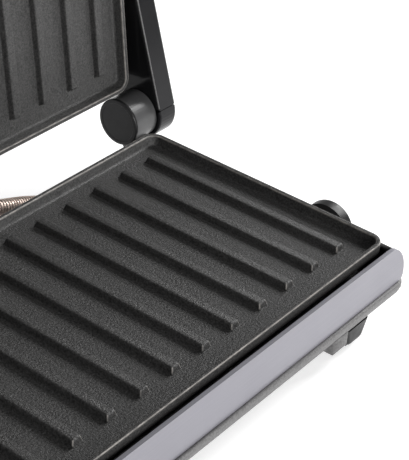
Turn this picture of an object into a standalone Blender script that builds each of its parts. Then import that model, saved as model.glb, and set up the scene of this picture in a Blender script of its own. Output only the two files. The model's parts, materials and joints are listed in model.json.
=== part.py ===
"""Panini press (contact grill), open. Metres, +Z up, +X to the right seen from the front, +Y to the back.

The origin is on the table, under the middle of the press's box. The bail (arms and handle) and the lid are
modelled closed, flat over the lower plate, and then turned open about the hinge axis by their parent empties.
"""

import math

import bmesh
import bpy
from mathutils import Matrix, Vector

# Driving dimensions
GAP = 0.0003  # between pieces that touch
HINGE_Y = 0.0500
HINGE_Z = 0.0467
OPEN_ANGLE = math.radians(96.8)
PLATE_WIDTH = 0.234
PLATE_FRONT = HINGE_Y - 0.1598
PLATE_BACK = HINGE_Y - 0.0160
PLATE_CORNER = 0.0075
FLOOR_Z = 0.0395  # ribbed side of the lower plate, between its ridges
RIM_HEIGHT = 0.0052
PLATE_THICKNESS = 0.0040
RIDGES = 11
RIDGE_PITCH = 0.020
RIDGE_LENGTH = 0.1172
RIDGE_HEIGHT = 0.0030
RIDGE_BASE = 0.0060
RIDGE_TOP = 0.0044
RIDGE_END_RADIUS = 0.0010
MATING_GAP = 0.0003  # between the two rims when closed
BODY_WIDTH = 0.2548
BODY_FRONT = HINGE_Y - 0.1632
BODY_BACK = HINGE_Y - 0.0134
WALL = 0.0022
TRAY_WIDTH = 0.2600
TRAY_TOP = FLOOR_Z - 0.0203
TRAY_BOTTOM = FLOOR_Z - 0.0265
FASCIA_TOP = FLOOR_Z + 0.0025
FASCIA_THICKNESS = 0.0020
PAD_HEIGHT = 0.0018
FOOT_X = 0.0900
FOOT_TOP_WIDTH = 0.0190
FOOT_BOTTOM_WIDTH = 0.0112
FOOT_LENGTH = 0.0260
HEEL_LENGTH = 0.0360  # rear feet
HEEL_REACH = 0.0120  # how far they reach behind the body, so that the open lid can't tip the press
BARREL_RADIUS = 0.0126
BARREL_INNER = 0.1094
BARREL_OUTER = 0.1240
PIN_RADIUS = 0.0040  # of the hinge pins
ARM_INNER = 0.1244
ARM_OUTER = 0.1375
ARM_SLOPE = math.radians(10.5)  # of the closed arms, up towards the front
ARM_FACE = 0.0148  # from the hinge axis down to the arm's lower face
ARM_LENGTH = 0.2040
ARM_END_RADIUS = 0.0104
FLOAT_TRAVEL = 0.0120
FLOAT_PIN_Y = PLATE_FRONT + 0.0720
FLOAT_PIN_RADIUS = 0.0032
LID_WIDTH = 0.2420
LID_TOP = 0.0860
KNOB_Y = HINGE_Y - 0.1168
KNOB_Z = 0.0240
KNOB_RADIUS = 0.0133
CONDUIT_RADIUS = 0.0045
SHOULDER_WIDTH = 0.0130  # soft edge of the housing and fascia at their sides
SHOULDER_HEIGHT = 0.0172
SHOULDER_FULLNESS = 1.7  # 2 would be an ellipse
BACK_SHOULDER = 0.0060  # how far the same edge reaches in at the back

MATING_Z = FLOOR_Z + RIM_HEIGHT + MATING_GAP / 2
PLATE_MID_Y = (PLATE_FRONT + PLATE_BACK) / 2
LID_FLOOR_Z = 2 * MATING_Z - FLOOR_Z
# the pins lie at the lower end of the arms' slots when the press is closed and empty
FLOAT_PIN_Z = HINGE_Z + (HINGE_Y - FLOAT_PIN_Y) * math.tan(ARM_SLOPE) - FLOAT_TRAVEL / 2 - 0.0010

for old in list(bpy.data.objects):
    bpy.data.objects.remove(old, do_unlink=True)

scene = bpy.context.scene
press = bpy.data.collections.new("panini_press")
helpers = bpy.data.collections.new("cutters")
helpers.hide_render = True
scene.collection.children.link(press)
scene.collection.children.link(helpers)

# ---------------------------------------------------------------- materials


def finish(name, color, roughness, metallic=0.0):
    material = bpy.data.materials.new(name)
    material.use_nodes = True
    shader = material.node_tree.nodes["Principled BSDF"]
    shader.inputs["Base Color"].default_value = (*color, 1.0)
    shader.inputs["Roughness"].default_value = roughness
    shader.inputs["Metallic"].default_value = metallic
    return material


NONSTICK = finish("nonstick_coating", (0.055, 0.055, 0.055), 0.45)
GREY_PLASTIC = finish("grey_plastic", (0.16, 0.16, 0.16), 0.5)
BLACK_PLASTIC = finish("black_plastic", (0.02, 0.02, 0.021), 0.4)
GLOSS_BLACK = finish("gloss_black", (0.015, 0.015, 0.017), 0.12)
SATIN_SILVER = finish("satin_silver", (0.42, 0.41, 0.47), 0.3, 0.6)
STEEL = finish("steel", (0.55, 0.55, 0.55), 0.35, 1.0)
ALUMINIUM = finish("aluminium_sheet", (0.7, 0.7, 0.7), 0.3, 1.0)
RUBBER = finish("rubber", (0.02, 0.02, 0.02), 0.8)
CONDUIT_METAL = finish("conduit_metal", (0.45, 0.34, 0.28), 0.4, 1.0)
CERAMIC = finish("ceramic", (0.8, 0.78, 0.72), 0.6)
RED_LENS = finish("red_lens", (0.6, 0.03, 0.02), 0.15)
GREEN_LENS = finish("green_lens", (0.03, 0.4, 0.08), 0.15)

# ---------------------------------------------------------------- modelling helpers


def add_object(name, mesh, material, cutter=False):
    if material:
        mesh.materials.append(material)
    obj = bpy.data.objects.new(name, mesh)
    (helpers if cutter else press).objects.link(obj)
    if cutter:
        obj.hide_render = True
        obj.display_type = "WIRE"
    return obj


def from_bmesh(name, shape, material, cutter=False, smooth=True):
    bmesh.ops.recalc_face_normals(shape, faces=shape.faces)
    mesh = bpy.data.meshes.new(name)
    shape.to_mesh(mesh)
    shape.free()
    obj = add_object(name, mesh, material, cutter)
    if smooth:
        mesh.shade_smooth()
        mesh.set_sharp_from_angle(angle=math.radians(35))
    return obj


def block(name, low, high, material=None, bevel=0.0, segments=2, cutter=False):
    """A box between two corners, its edges rounded by bevel."""
    shape = bmesh.new()
    bmesh.ops.create_cube(shape, size=1.0)
    size = [b - a for a, b in zip(low, high)]
    middle = [(a + b) / 2 for a, b in zip(low, high)]
    bmesh.ops.scale(shape, vec=size, verts=shape.verts)
    bmesh.ops.translate(shape, vec=middle, verts=shape.verts)
    if bevel:
        bmesh.ops.bevel(
            shape, geom=list(shape.edges), offset=bevel, segments=segments, profile=0.5, affect="EDGES"
        )
    return from_bmesh(name, shape, material, cutter, smooth=bool(bevel))


def cylinder(name, centre, axis, radius, length, material=None, segments=24, cutter=False, tip_radius=None):
    """A round bar from centre along axis; tip_radius makes it a cone."""
    shape = bmesh.new()
    bmesh.ops.create_cone(
        shape,
        cap_ends=True,
        segments=segments,
        radius1=radius,
        radius2=radius if tip_radius is None else tip_radius,
        depth=length,
    )
    bmesh.ops.translate(shape, vec=(0, 0, length / 2), verts=shape.verts)
    turn = Vector((0, 0, 1)).rotation_difference(Vector(axis)).to_matrix().to_4x4()
    bmesh.ops.transform(shape, matrix=Matrix.Translation(centre) @ turn, verts=shape.verts)
    return from_bmesh(name, shape, material, cutter)


def rounded_ring(x_low, x_high, y_low, y_high, front_radius, back_radius, steps):
    """Points round a rectangle whose front and back corners have their own radii."""
    corners = (
        (x_high, y_low, front_radius, -90),
        (x_high, y_high, back_radius, 0),
        (x_low, y_high, back_radius, 90),
        (x_low, y_low, front_radius, 180),
    )
    points = []
    for x, y, radius, start in corners:
        centre_x = x - math.copysign(radius, x - (x_low + x_high) / 2)
        centre_y = y - math.copysign(radius, y - (y_low + y_high) / 2)
        for step in range(steps + 1):
            angle = math.radians(start + 90 * step / steps)
            points.append((centre_x + radius * math.cos(angle), centre_y + radius * math.sin(angle)))
    return points


def loft(shape, rings, closed=False):
    """Skins rings of equal point count, each a list of 3D points; closed joins the last ring to the first."""
    loops = [[shape.verts.new(point) for point in ring] for ring in rings]
    pairs = list(zip(loops, loops[1:]))
    if closed:
        pairs.append((loops[-1], loops[0]))
    for lower, upper in pairs:
        count = len(lower)
        for i in range(count):
            j = (i + 1) % count
            shape.faces.new((lower[i], lower[j], upper[j], upper[i]))
    if not closed:
        shape.faces.new(list(reversed(loops[0])))
        shape.faces.new(loops[-1])


def rounded_shell(name, levels, material, closed=False, steps=4, least_radius=0.0008):
    """A lofted body from levels (half width, front y, back y, z, front radius, back radius)."""
    rings = []
    for half, front, back, z, front_radius, back_radius in levels:
        ring = rounded_ring(
            -half, half, front, back, max(front_radius, least_radius), max(back_radius, least_radius), steps
        )
        rings.append([(x, y, z) for x, y in ring])
    shape = bmesh.new()
    loft(shape, rings, closed)
    return from_bmesh(name, shape, material)


def outline_solid(name, points, x_low, x_high, material=None, bevel=0.0, cutter=False):
    """A flat outline of (y, z) points, filled and extruded from x_low to x_high."""
    curve = bpy.data.curves.new(name, "CURVE")
    curve.dimensions = "2D"
    curve.fill_mode = "BOTH"
    curve.extrude = (x_high - x_low) / 2
    spline = curve.splines.new("POLY")
    spline.points.add(len(points) - 1)
    for target, (y, z) in zip(spline.points, points):
        target.co = (y, z, 0, 1)
    spline.use_cyclic_u = True
    guide = bpy.data.objects.new(name, curve)
    helpers.objects.link(guide)
    bpy.context.view_layer.update()
    graph = bpy.context.evaluated_depsgraph_get()
    mesh = bpy.data.meshes.new_from_object(guide.evaluated_get(graph))
    bpy.data.objects.remove(guide, do_unlink=True)
    shape = bmesh.new()
    shape.from_mesh(mesh)
    bmesh.ops.remove_doubles(shape, verts=shape.verts, dist=1e-6)
    bmesh.ops.dissolve_limit(
        shape, angle_limit=math.radians(1), verts=list(shape.verts), edges=list(shape.edges)
    )
    # the outline's own axes (across, up, out) become Y, Z and X
    axes = Matrix(((0, 0, 1, (x_low + x_high) / 2), (1, 0, 0, 0), (0, 1, 0, 0), (0, 0, 0, 1)))
    bmesh.ops.transform(shape, matrix=axes, verts=shape.verts)
    if bevel:
        rim = [e for e in shape.edges if abs(e.verts[0].co.x - e.verts[1].co.x) < 1e-6]
        bmesh.ops.bevel(shape, geom=rim, offset=bevel, segments=2, profile=0.5, affect="EDGES")
    return from_bmesh(name, shape, material, cutter)


def tube(name, points, radius, material, resolution=2):
    """A wire or pipe along the points."""
    curve = bpy.data.curves.new(name, "CURVE")
    curve.dimensions = "3D"
    curve.bevel_depth = radius
    curve.bevel_resolution = resolution
    curve.use_fill_caps = True
    spline = curve.splines.new("POLY")
    spline.points.add(len(points) - 1)
    for target, point in zip(spline.points, points):
        target.co = (*point, 1)
    curve.materials.append(material)
    obj = bpy.data.objects.new(name, curve)
    press.objects.link(obj)
    return obj


def boolean(obj, operand, operation="DIFFERENCE"):
    modifier = obj.modifiers.new(operation.lower(), "BOOLEAN")
    modifier.operation = operation
    modifier.solver = "EXACT"
    modifier.object = operand


def arc(centre_a, centre_b, radius, start, end, steps):
    """Points of an arc in a plane, angles in degrees."""
    return [
        (
            centre_a + radius * math.cos(math.radians(start + (end - start) * step / steps)),
            centre_b + radius * math.sin(math.radians(start + (end - start) * step / steps)),
        )
        for step in range(steps + 1)
    ]


def smooth_path(knots, steps):
    """Points of a smooth curve through the knots (Catmull-Rom), steps to each stretch."""
    knots = [Vector(k) for k in knots]
    knots = [2 * knots[0] - knots[1], *knots, 2 * knots[-1] - knots[-2]]
    points = []
    for a, b, c, d in zip(knots, knots[1:], knots[2:], knots[3:]):
        for step in range(steps):
            t = step / steps
            square = (2 * a - 5 * b + 4 * c - d) * t**2
            cube = (3 * b - a - 3 * c + d) * t**3
            points.append(0.5 * (2 * b + (c - a) * t + square + cube))
    return [*points, knots[-2]]


# ---------------------------------------------------------------- moving frames


def empty_at(name, location, parent=None):
    empty = bpy.data.objects.new(name, None)
    press.objects.link(empty)
    empty.parent = parent
    empty.location = location
    return empty


bail_axis = empty_at("bail_axis", (0, HINGE_Y, HINGE_Z))
lid_float_axis = empty_at("lid_float_axis", (0, 0, 0), bail_axis)
knob_axis = empty_at("knob_axis", (BODY_WIDTH / 2, KNOB_Y, KNOB_Z))
FROM_HINGE = Matrix.Translation((0, -HINGE_Y, -HINGE_Z))
FROM_KNOB = Matrix.Translation((-BODY_WIDTH / 2, -KNOB_Y, -KNOB_Z))


def ride(axis, to_axis, *objects):
    """Parents pieces, and the shapes their Booleans use, to an axis that they were modelled round."""
    for obj in objects:
        operands = [m.object for m in obj.modifiers if m.type == "BOOLEAN"]
        for piece in (obj, *operands):
            piece.parent = axis
            piece.matrix_parent_inverse = to_axis


# ---------------------------------------------------------------- grill plates


def plate_level(inset, height):
    corner = max(PLATE_CORNER - inset, 0.0015)
    return PLATE_WIDTH / 2 - inset, PLATE_FRONT + inset, PLATE_BACK - inset, height, corner, corner


def grill_plate(name, floor_z, up):
    """A ribbed plate whose ribs and rim stand up (up = 1) or hang down (up = -1) from floor_z."""
    profile = (
        (0.0040, -PLATE_THICKNESS),
        (0.0040, -0.0012),
        (0.0006, -0.0008),
        (0.0000, 0.0002),
        (0.0000, RIM_HEIGHT - 0.0005),
        (0.0005, RIM_HEIGHT),
        (0.0015, RIM_HEIGHT),
        (0.0021, RIM_HEIGHT - 0.0005),
        (0.0031, 0.0006),
        (0.0038, 0.0),
    )
    levels = [plate_level(inset, floor_z + up * height) for inset, height in profile]
    plate = rounded_shell(name, levels, NONSTICK)
    boolean(plate, ridge_set(name + "_ridges", floor_z, up), "UNION")
    return plate


def ridge_set(name, floor_z, up):
    """Ridges running front to back, side by side, their ends square with round corners."""
    sections = (
        (-0.0010, RIDGE_BASE, 0.0),
        (0.0, RIDGE_BASE, 0.0),
        (RIDGE_HEIGHT - 0.0006, RIDGE_TOP + 0.0004, 0.0008),
        (RIDGE_HEIGHT, RIDGE_TOP - 0.0008, 0.0014),
    )
    middle_y = PLATE_MID_Y + 0.0010
    shape = bmesh.new()
    for index in range(RIDGES):
        x = (index - (RIDGES - 1) / 2) * RIDGE_PITCH
        rings = []
        for height, width, shorten in sections:
            half = RIDGE_LENGTH / 2 - shorten
            radius = RIDGE_END_RADIUS
            ring = rounded_ring(
                x - width / 2, x + width / 2, middle_y - half, middle_y + half, radius, radius, 3
            )
            rings.append([(px, py, floor_z + up * height) for px, py in ring])
        loft(shape, rings)
    return from_bmesh(name, shape, None, cutter=True)


grill_plate("lower_grill_plate", FLOOR_Z, 1)
upper_plate = grill_plate("upper_grill_plate", LID_FLOOR_Z, -1)

# ---------------------------------------------------------------- base shells


def body_level(inset, height, back_inset, front_inset=0.0):
    return (
        BODY_WIDTH / 2 - inset,
        BODY_FRONT + front_inset,
        BODY_BACK - back_inset,
        height,
        0.0015,
        max(0.018 - inset, 0.006),
    )


def shoulder_curve(steps):
    """(how far in, how far down) of points on the soft side edge, from its top to its lower end."""
    power = 2 / SHOULDER_FULLNESS
    points = []
    for step in range(steps + 1):
        angle = math.radians(90 * step / steps)
        out, rise = math.sin(angle) ** power, max(math.cos(angle), 0.0) ** power
        points.append((SHOULDER_WIDTH * (1 - out), SHOULDER_HEIGHT * (1 - rise)))
    return points


def base_housing():
    """The wall round the lower plate: its sides and back curve in over the top, its front is low."""
    top = FLOOR_Z + 0.0021
    outer = [body_level(0.0, TRAY_TOP + GAP, 0.0)]
    for inset, drop in reversed(shoulder_curve(7)):
        outer.append(body_level(inset, top - drop, BACK_SHOULDER * inset / SHOULDER_WIDTH))
    inner = [
        body_level(SHOULDER_WIDTH + 0.0004, top - WALL, BACK_SHOULDER + WALL, WALL),
        body_level(0.0070, top - 0.0056, WALL + 0.0026, WALL),
        body_level(WALL, top - SHOULDER_HEIGHT - 0.0010, WALL, WALL),
        body_level(WALL, TRAY_TOP + GAP, WALL, WALL),
    ]
    housing = rounded_shell("base_housing", outer + inner, GREY_PLASTIC, closed=True)
    opening = block(
        "front_opening",
        (-PLATE_WIDTH / 2 - 0.0013, BODY_FRONT - 0.005, FLOOR_Z - 0.0105),
        (PLATE_WIDTH / 2 + 0.0013, PLATE_MID_Y, FLOOR_Z + 0.010),
        cutter=True,
    )
    boolean(housing, opening)
    well = block(
        "plate_well",
        (-PLATE_WIDTH / 2 - 0.0008, PLATE_FRONT - 0.0008, FLOOR_Z - 0.0060),
        (PLATE_WIDTH / 2 + 0.0008, PLATE_BACK + 0.0008, FLOOR_Z + 0.010),
        cutter=True,
    )
    boolean(housing, well)
    shaft_hole = cylinder(
        "knob_hole", (BODY_WIDTH / 2 - 0.010, KNOB_Y, KNOB_Z), (1, 0, 0), 0.0040, 0.020, cutter=True
    )
    boolean(housing, shaft_hole)
    return housing


def tray_level(inset, height):
    return (
        TRAY_WIDTH / 2 - inset,
        BODY_FRONT - 0.0038 + inset,
        BODY_BACK + 0.0012 - inset,
        height,
        max(0.0070 - inset, 0.0015),
        max(0.0190 - inset, 0.0015),
    )


def base_tray():
    """The bottom cover, with a tab beside each front foot."""
    levels = [
        tray_level(0.0030, TRAY_BOTTOM),
        tray_level(0.0008, TRAY_BOTTOM + 0.0009),
        tray_level(0.0, TRAY_BOTTOM + 0.0030),
        tray_level(0.0, TRAY_TOP - 0.0005),
        tray_level(0.0005, TRAY_TOP),
        tray_level(0.0040, TRAY_TOP),
        tray_level(0.0040, TRAY_BOTTOM + WALL),
    ]
    tray = rounded_shell("base_tray", levels, GREY_PLASTIC)
    tab_front = BODY_FRONT - 0.0036
    for side in (-1, 1):
        inner, outer = sorted((side * 0.0687, side * 0.0802))
        tab = block(
            f"tray_tab_{side}",
            (inner, tab_front, TRAY_BOTTOM - 0.0058),
            (outer, tab_front + 0.0160, TRAY_BOTTOM + 0.0015),
            cutter=True,
        )
        boolean(tray, tab, "UNION")
    return tray


def front_fascia():
    """The satin band: a thin plate with round top corners, in front of the housing."""
    half = BODY_WIDTH / 2
    top = FASCIA_TOP
    bottom = TRAY_TOP + GAP
    low_radius = 0.0030
    points = [(half - inset, top - drop) for inset, drop in shoulder_curve(12)]
    points += arc(half - low_radius, bottom + low_radius, low_radius, 0, -90, 3)
    points += [(-x, z) for x, z in reversed(points)]
    fascia = outline_solid("front_fascia", points, -FASCIA_THICKNESS / 2, FASCIA_THICKNESS / 2, SATIN_SILVER)
    middle_y = BODY_FRONT - GAP - FASCIA_THICKNESS / 2
    # the outline was drawn across the press, so it is turned to face the front
    fascia.data.transform(Matrix.Translation((0, middle_y, 0)) @ Matrix.Rotation(math.radians(-90), 4, "Z"))
    return fascia


base_housing()
base_tray()
front_fascia()

# ---------------------------------------------------------------- feet


def foot(name, x, y_front, y_back):
    """A leg that narrows downwards, with a rubber pad under it."""
    top = TRAY_BOTTOM - GAP
    shape = bmesh.new()
    rings = []
    for height, width, shorten in (
        (PAD_HEIGHT, FOOT_BOTTOM_WIDTH - 0.0030, 0.0020),
        (PAD_HEIGHT + 0.0030, FOOT_BOTTOM_WIDTH, 0.0006),
        (top, FOOT_TOP_WIDTH, 0.0),
    ):
        ring = rounded_ring(
            x - width / 2, x + width / 2, y_front + shorten, y_back - shorten, 0.0024, 0.0024, 3
        )
        rings.append([(px, py, height) for px, py in ring])
    loft(shape, rings)
    from_bmesh(name, shape, BLACK_PLASTIC)
    pad_half = FOOT_BOTTOM_WIDTH / 2 - 0.0018
    block(
        name.replace("foot", "foot_pad"),
        (x - pad_half, y_front + 0.0030, 0.0),
        (x + pad_half, y_back - 0.0030, PAD_HEIGHT - GAP),
        RUBBER,
        bevel=0.0004,
        segments=1,
    )


for side, side_name in ((-1, "left"), (1, "right")):
    front = BODY_FRONT - 0.0030
    heel = BODY_BACK + HEEL_REACH
    foot(f"foot_front_{side_name}", side * FOOT_X, front, front + FOOT_LENGTH)
    foot(f"foot_rear_{side_name}", side * FOOT_X, heel - HEEL_LENGTH, heel)

# ---------------------------------------------------------------- heating and wiring inside the base


def element_path(z):
    """The sheathed heater's loop under a plate, from one terminal at the back to the other."""
    half = 0.085
    front = PLATE_FRONT + 0.028
    back = PLATE_BACK - 0.030
    bend = 0.020
    path = [(-half, PLATE_BACK - 0.012, z), (-half, back - bend, z)]
    path += [(x, y, z) for x, y in arc(-half + bend, front + bend, bend, 180, 270, 5)]
    path += [(x, y, z) for x, y in arc(half - bend, front + bend, bend, 270, 360, 5)]
    path += [(half, back - bend, z), (half, PLATE_BACK - 0.012, z)]
    return path


def heater(prefix, plate_back_z, up):
    """Element, reflector and two clamps on the plain side of a plate; up = -1 puts them under it."""
    element_z = plate_back_z + up * 0.0036
    reflector_z = plate_back_z + up * 0.0092
    element = tube(f"{prefix}_heating_element", element_path(element_z), 0.0032, STEEL)
    low_z, high_z = sorted((reflector_z, reflector_z + up * 0.0008))
    reflector = block(
        f"{prefix}_heat_reflector",
        (-PLATE_WIDTH / 2 + 0.008, PLATE_FRONT + 0.008, low_z),
        (PLATE_WIDTH / 2 - 0.008, PLATE_BACK - 0.004, high_z),
        ALUMINIUM,
    )
    pieces = [element, reflector]
    for side, side_name in ((-1, "left"), (1, "right")):
        x = side * 0.040
        low_z, high_z = sorted((element_z + up * 0.0035, element_z + up * 0.0049))
        clamp = block(
            f"{prefix}_element_clamp_{side_name}",
            (x - 0.006, PLATE_FRONT + 0.018, low_z),
            (x + 0.006, PLATE_FRONT + 0.040, high_z),
            STEEL,
        )
        pieces.append(clamp)
    return pieces


heater("lower", FLOOR_Z - PLATE_THICKNESS, -1)
block(
    "thermostat",
    (BODY_WIDTH / 2 - 0.0270, KNOB_Y - 0.0110, TRAY_BOTTOM + WALL + 0.0010),
    (BODY_WIDTH / 2 - 0.0060, KNOB_Y + 0.0110, FLOOR_Z - 0.0150),
    CERAMIC,
)
block(
    "terminal_block",
    (0.020, BODY_BACK - 0.0240, TRAY_BOTTOM + WALL + GAP),
    (0.060, BODY_BACK - 0.0080, TRAY_BOTTOM + WALL + 0.0090),
    CERAMIC,
)
cylinder("thermal_fuse", (-0.030, 0.0, TRAY_BOTTOM + WALL + 0.0034), (1, 0, 0), 0.0030, 0.030, CERAMIC, 12)

SCREW_PLACES = ((-0.112, -0.085), (0.112, -0.085), (-0.105, 0.020), (0.105, 0.020))
SCREW_RADIUS = 0.0034
SCREW_HEIGHT = 0.0014
for number, (x, y) in enumerate(SCREW_PLACES, 1):
    cylinder(
        f"tray_screw_{number}",
        (x, y, TRAY_BOTTOM - GAP),
        (0, 0, -1),
        SCREW_RADIUS,
        SCREW_HEIGHT,
        STEEL,
        16,
        tip_radius=0.0026,
    )

# ---------------------------------------------------------------- rear of the base

GLAND_X = -0.070
GLAND_Z = TRAY_TOP + 0.0085
GLAND_LENGTH = 0.0070
CORD_RADIUS = 0.0037
gland = cylinder(
    "cord_gland",
    (GLAND_X, BODY_BACK + GAP, GLAND_Z),
    (0, 1, 0),
    0.0075,
    GLAND_LENGTH,
    BLACK_PLASTIC,
    20,
    tip_radius=0.0065,
)
way_start = (GLAND_X, BODY_BACK + 0.0020, GLAND_Z)
boolean(gland, cylinder("cord_way", way_start, (0, 1, 0), CORD_RADIUS, 0.010, None, 16, cutter=True))

CONDUIT_START = (0.048, BODY_BACK, TRAY_TOP + 0.0078)
LID_BUSH = (-0.014, BODY_BACK, 0.0535)  # closed
BUSH_LENGTH = 0.0040
bush_lower = cylinder(
    "conduit_bush_lower", (CONDUIT_START[0], BODY_BACK + GAP, CONDUIT_START[2]), (0, 1, 0), 0.0065, BUSH_LENGTH,
    BLACK_PLASTIC, 20,
)
bush_upper = cylinder(
    "conduit_bush_upper", (LID_BUSH[0], LID_BUSH[1] + GAP, LID_BUSH[2]), (0, 1, 0), 0.0065, BUSH_LENGTH,
    BLACK_PLASTIC, 20,
)


def opened(point):
    """Where a point of the closed bail or lid is once they are open."""
    return (
        Matrix.Translation((0, HINGE_Y, HINGE_Z))
        @ Matrix.Rotation(-OPEN_ANGLE, 4, "X")
        @ FROM_HINGE
        @ Vector(point)
    )


conduit_low = Vector((CONDUIT_START[0], BODY_BACK + BUSH_LENGTH + 2 * GAP, CONDUIT_START[2]))
conduit_high = opened((LID_BUSH[0], LID_BUSH[1] + BUSH_LENGTH + 2 * GAP, LID_BUSH[2]))
conduit_out = conduit_low + Vector((0, 0.0035, 0))
conduit_in = opened((LID_BUSH[0], LID_BUSH[1] + BUSH_LENGTH + 2 * GAP + 0.0035, LID_BUSH[2]))
conduit_knots = (
    conduit_out,
    (0.0360, HINGE_Y - 0.0022, 0.0306),
    (0.0250, HINGE_Y - 0.0008, 0.0337),
    (0.0120, HINGE_Y + 0.0020, 0.0370),
    (0.0, HINGE_Y + 0.0050, 0.0410),
    conduit_in,
)
tube("wire_conduit", [conduit_low, *smooth_path(conduit_knots, 3), conduit_high], CONDUIT_RADIUS, CONDUIT_METAL)


def hinge_barrel(side, side_name):
    """A round boss on the hinge axis with a web to the housing's back wall, and the cap on its inner end."""
    x_low, x_high = sorted((side * BARREL_INNER, side * BARREL_OUTER))
    web_low, web_high = sorted((side * (BARREL_INNER + 0.0005), side * (BARREL_OUTER - 0.0030)))
    barrel = cylinder(
        f"hinge_barrel_{side_name}", (x_low, HINGE_Y, HINGE_Z), (1, 0, 0), BARREL_RADIUS, x_high - x_low,
        BLACK_PLASTIC, 64,
    )
    wall = BODY_BACK + GAP
    web = outline_solid(
        f"hinge_web_{side_name}",
        [
            (wall, FLOOR_Z - 0.0060),
            (wall, FLOOR_Z - 0.0190),
            (HINGE_Y - 0.0010, HINGE_Z - BARREL_RADIUS + 0.0006),
            (HINGE_Y - 0.0030, HINGE_Z - 0.0060),
            (HINGE_Y - 0.0090, HINGE_Z - 0.0080),
        ],
        web_low,
        web_high,
        cutter=True,
    )
    boolean(barrel, web, "UNION")
    bore_start = (side * (BARREL_INNER + 0.004), HINGE_Y, HINGE_Z)
    bore = cylinder(
        f"hinge_bore_{side_name}", bore_start, (side, 0, 0), PIN_RADIUS + 0.0004, 0.020, None, 24, cutter=True
    )
    boolean(barrel, bore)
    cap_x = side * (BARREL_INNER - GAP)
    return barrel, cylinder(
        f"barrel_cap_{side_name}", (cap_x, HINGE_Y, HINGE_Z), (-side, 0, 0), BARREL_RADIUS, 0.0012,
        BLACK_PLASTIC, 64, tip_radius=BARREL_RADIUS - 0.0006,
    )


for side, side_name in ((-1, "left"), (1, "right")):
    hinge_barrel(side, side_name)

# ---------------------------------------------------------------- temperature control

knob_start = (TRAY_WIDTH / 2 + 0.0006, KNOB_Y, KNOB_Z)
knob = cylinder("temperature_knob", knob_start, (1, 0, 0), KNOB_RADIUS, 0.0069, BLACK_PLASTIC, 48)
edge = knob.modifiers.new("rounded_edge", "BEVEL")
edge.width = 0.0014
edge.segments = 3
edge.limit_method = "ANGLE"
shaft = cylinder(
    "thermostat_shaft", (BODY_WIDTH / 2 - 0.0056, KNOB_Y, KNOB_Z), (1, 0, 0), 0.0030,
    TRAY_WIDTH / 2 - BODY_WIDTH / 2 + 0.0056 + 0.0003, STEEL, 16,
)
ride(knob_axis, FROM_KNOB, knob, shaft)

# ---------------------------------------------------------------- bail: arms, knuckles, pins and handle


def along_arm(s, t):
    """(y, z), closed, of a point s along the arm from the hinge axis and t above that line."""
    return (
        HINGE_Y - s * math.cos(ARM_SLOPE) + t * math.sin(ARM_SLOPE),
        HINGE_Z + s * math.sin(ARM_SLOPE) + t * math.cos(ARM_SLOPE),
    )


SEAM = 0.0008


def arm(side, side_name):
    end_t = -ARM_FACE + ARM_END_RADIUS
    outline = [(SEAM, -ARM_FACE), (ARM_LENGTH, -ARM_FACE)]
    outline += arc(ARM_LENGTH, end_t, ARM_END_RADIUS, -90, 90, 12)[1:]
    outline += [(0.055, ARM_FACE - 0.0020), (SEAM, ARM_FACE)]
    x_low, x_high = sorted((side * ARM_INNER, side * ARM_OUTER))
    bar = outline_solid(
        f"arm_{side_name}", [along_arm(s, t) for s, t in outline], x_low, x_high, GLOSS_BLACK, bevel=0.0012
    )
    slot_low, slot_high = sorted((side * (ARM_INNER - 0.003), side * (ARM_INNER + 0.0066)))
    clear = FLOAT_PIN_RADIUS + 0.0004
    slot = block(
        f"float_slot_{side_name}",
        (slot_low, FLOAT_PIN_Y - clear, FLOAT_PIN_Z - clear),
        (slot_high, FLOAT_PIN_Y + clear, FLOAT_PIN_Z + FLOAT_TRAVEL + clear),
        cutter=True,
    )
    boolean(bar, slot)
    knuckle_outline = arc(0, 0, ARM_FACE, 90, 270, 24)
    knuckle_outline = [(SEAM - GAP, ARM_FACE), *knuckle_outline, (SEAM - GAP, -ARM_FACE)]
    knuckle = outline_solid(
        f"arm_knuckle_{side_name}",
        [along_arm(s, t) for s, t in knuckle_outline],
        x_low,
        x_high,
        GLOSS_BLACK,
        bevel=0.0012,
    )
    pin = cylinder(
        f"hinge_pin_{side_name}", (side * (BARREL_INNER + 0.006), HINGE_Y, HINGE_Z), (side, 0, 0), PIN_RADIUS,
        ARM_INNER - BARREL_INNER - 0.006 - GAP, STEEL, 24,
    )
    return bar, knuckle, pin


bail = []
for side, side_name in ((-1, "left"), (1, "right")):
    bail += arm(side, side_name)

grip_t = -ARM_FACE + ARM_END_RADIUS
grip_outline = arc(ARM_LENGTH, grip_t, ARM_END_RADIUS, -90, 90, 14)
grip_outline += arc(ARM_LENGTH - 0.0060, grip_t, ARM_END_RADIUS, 90, 270, 14)
bail.append(
    outline_solid(
        "handle_grip",
        [along_arm(s, t) for s, t in grip_outline],
        -ARM_INNER + GAP,
        ARM_INNER - GAP,
        BLACK_PLASTIC,
    )
)
ride(bail_axis, FROM_HINGE, *bail)

# ---------------------------------------------------------------- lid


def lid_level(inset, height, corner=0.0100):
    """Outer sections of the lid."""
    return (
        LID_WIDTH / 2 - inset,
        BODY_FRONT + 0.0006 + inset,
        BODY_BACK - inset,
        height,
        max(corner - inset, 0.0015),
        max(corner - inset, 0.0015),
    )


def lid_inner_level(height, inset=0.0):
    """Inner sections: thicker walls at the sides than at the front and back."""
    return (
        LID_WIDTH / 2 - 0.0032 - inset,
        BODY_FRONT + 0.0006 + WALL + inset,
        BODY_BACK - WALL - inset,
        height,
        0.0075,
        0.0075,
    )


FRAME_LOW = MATING_Z + 0.0035
FRAME_HIGH = 0.0700


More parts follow.
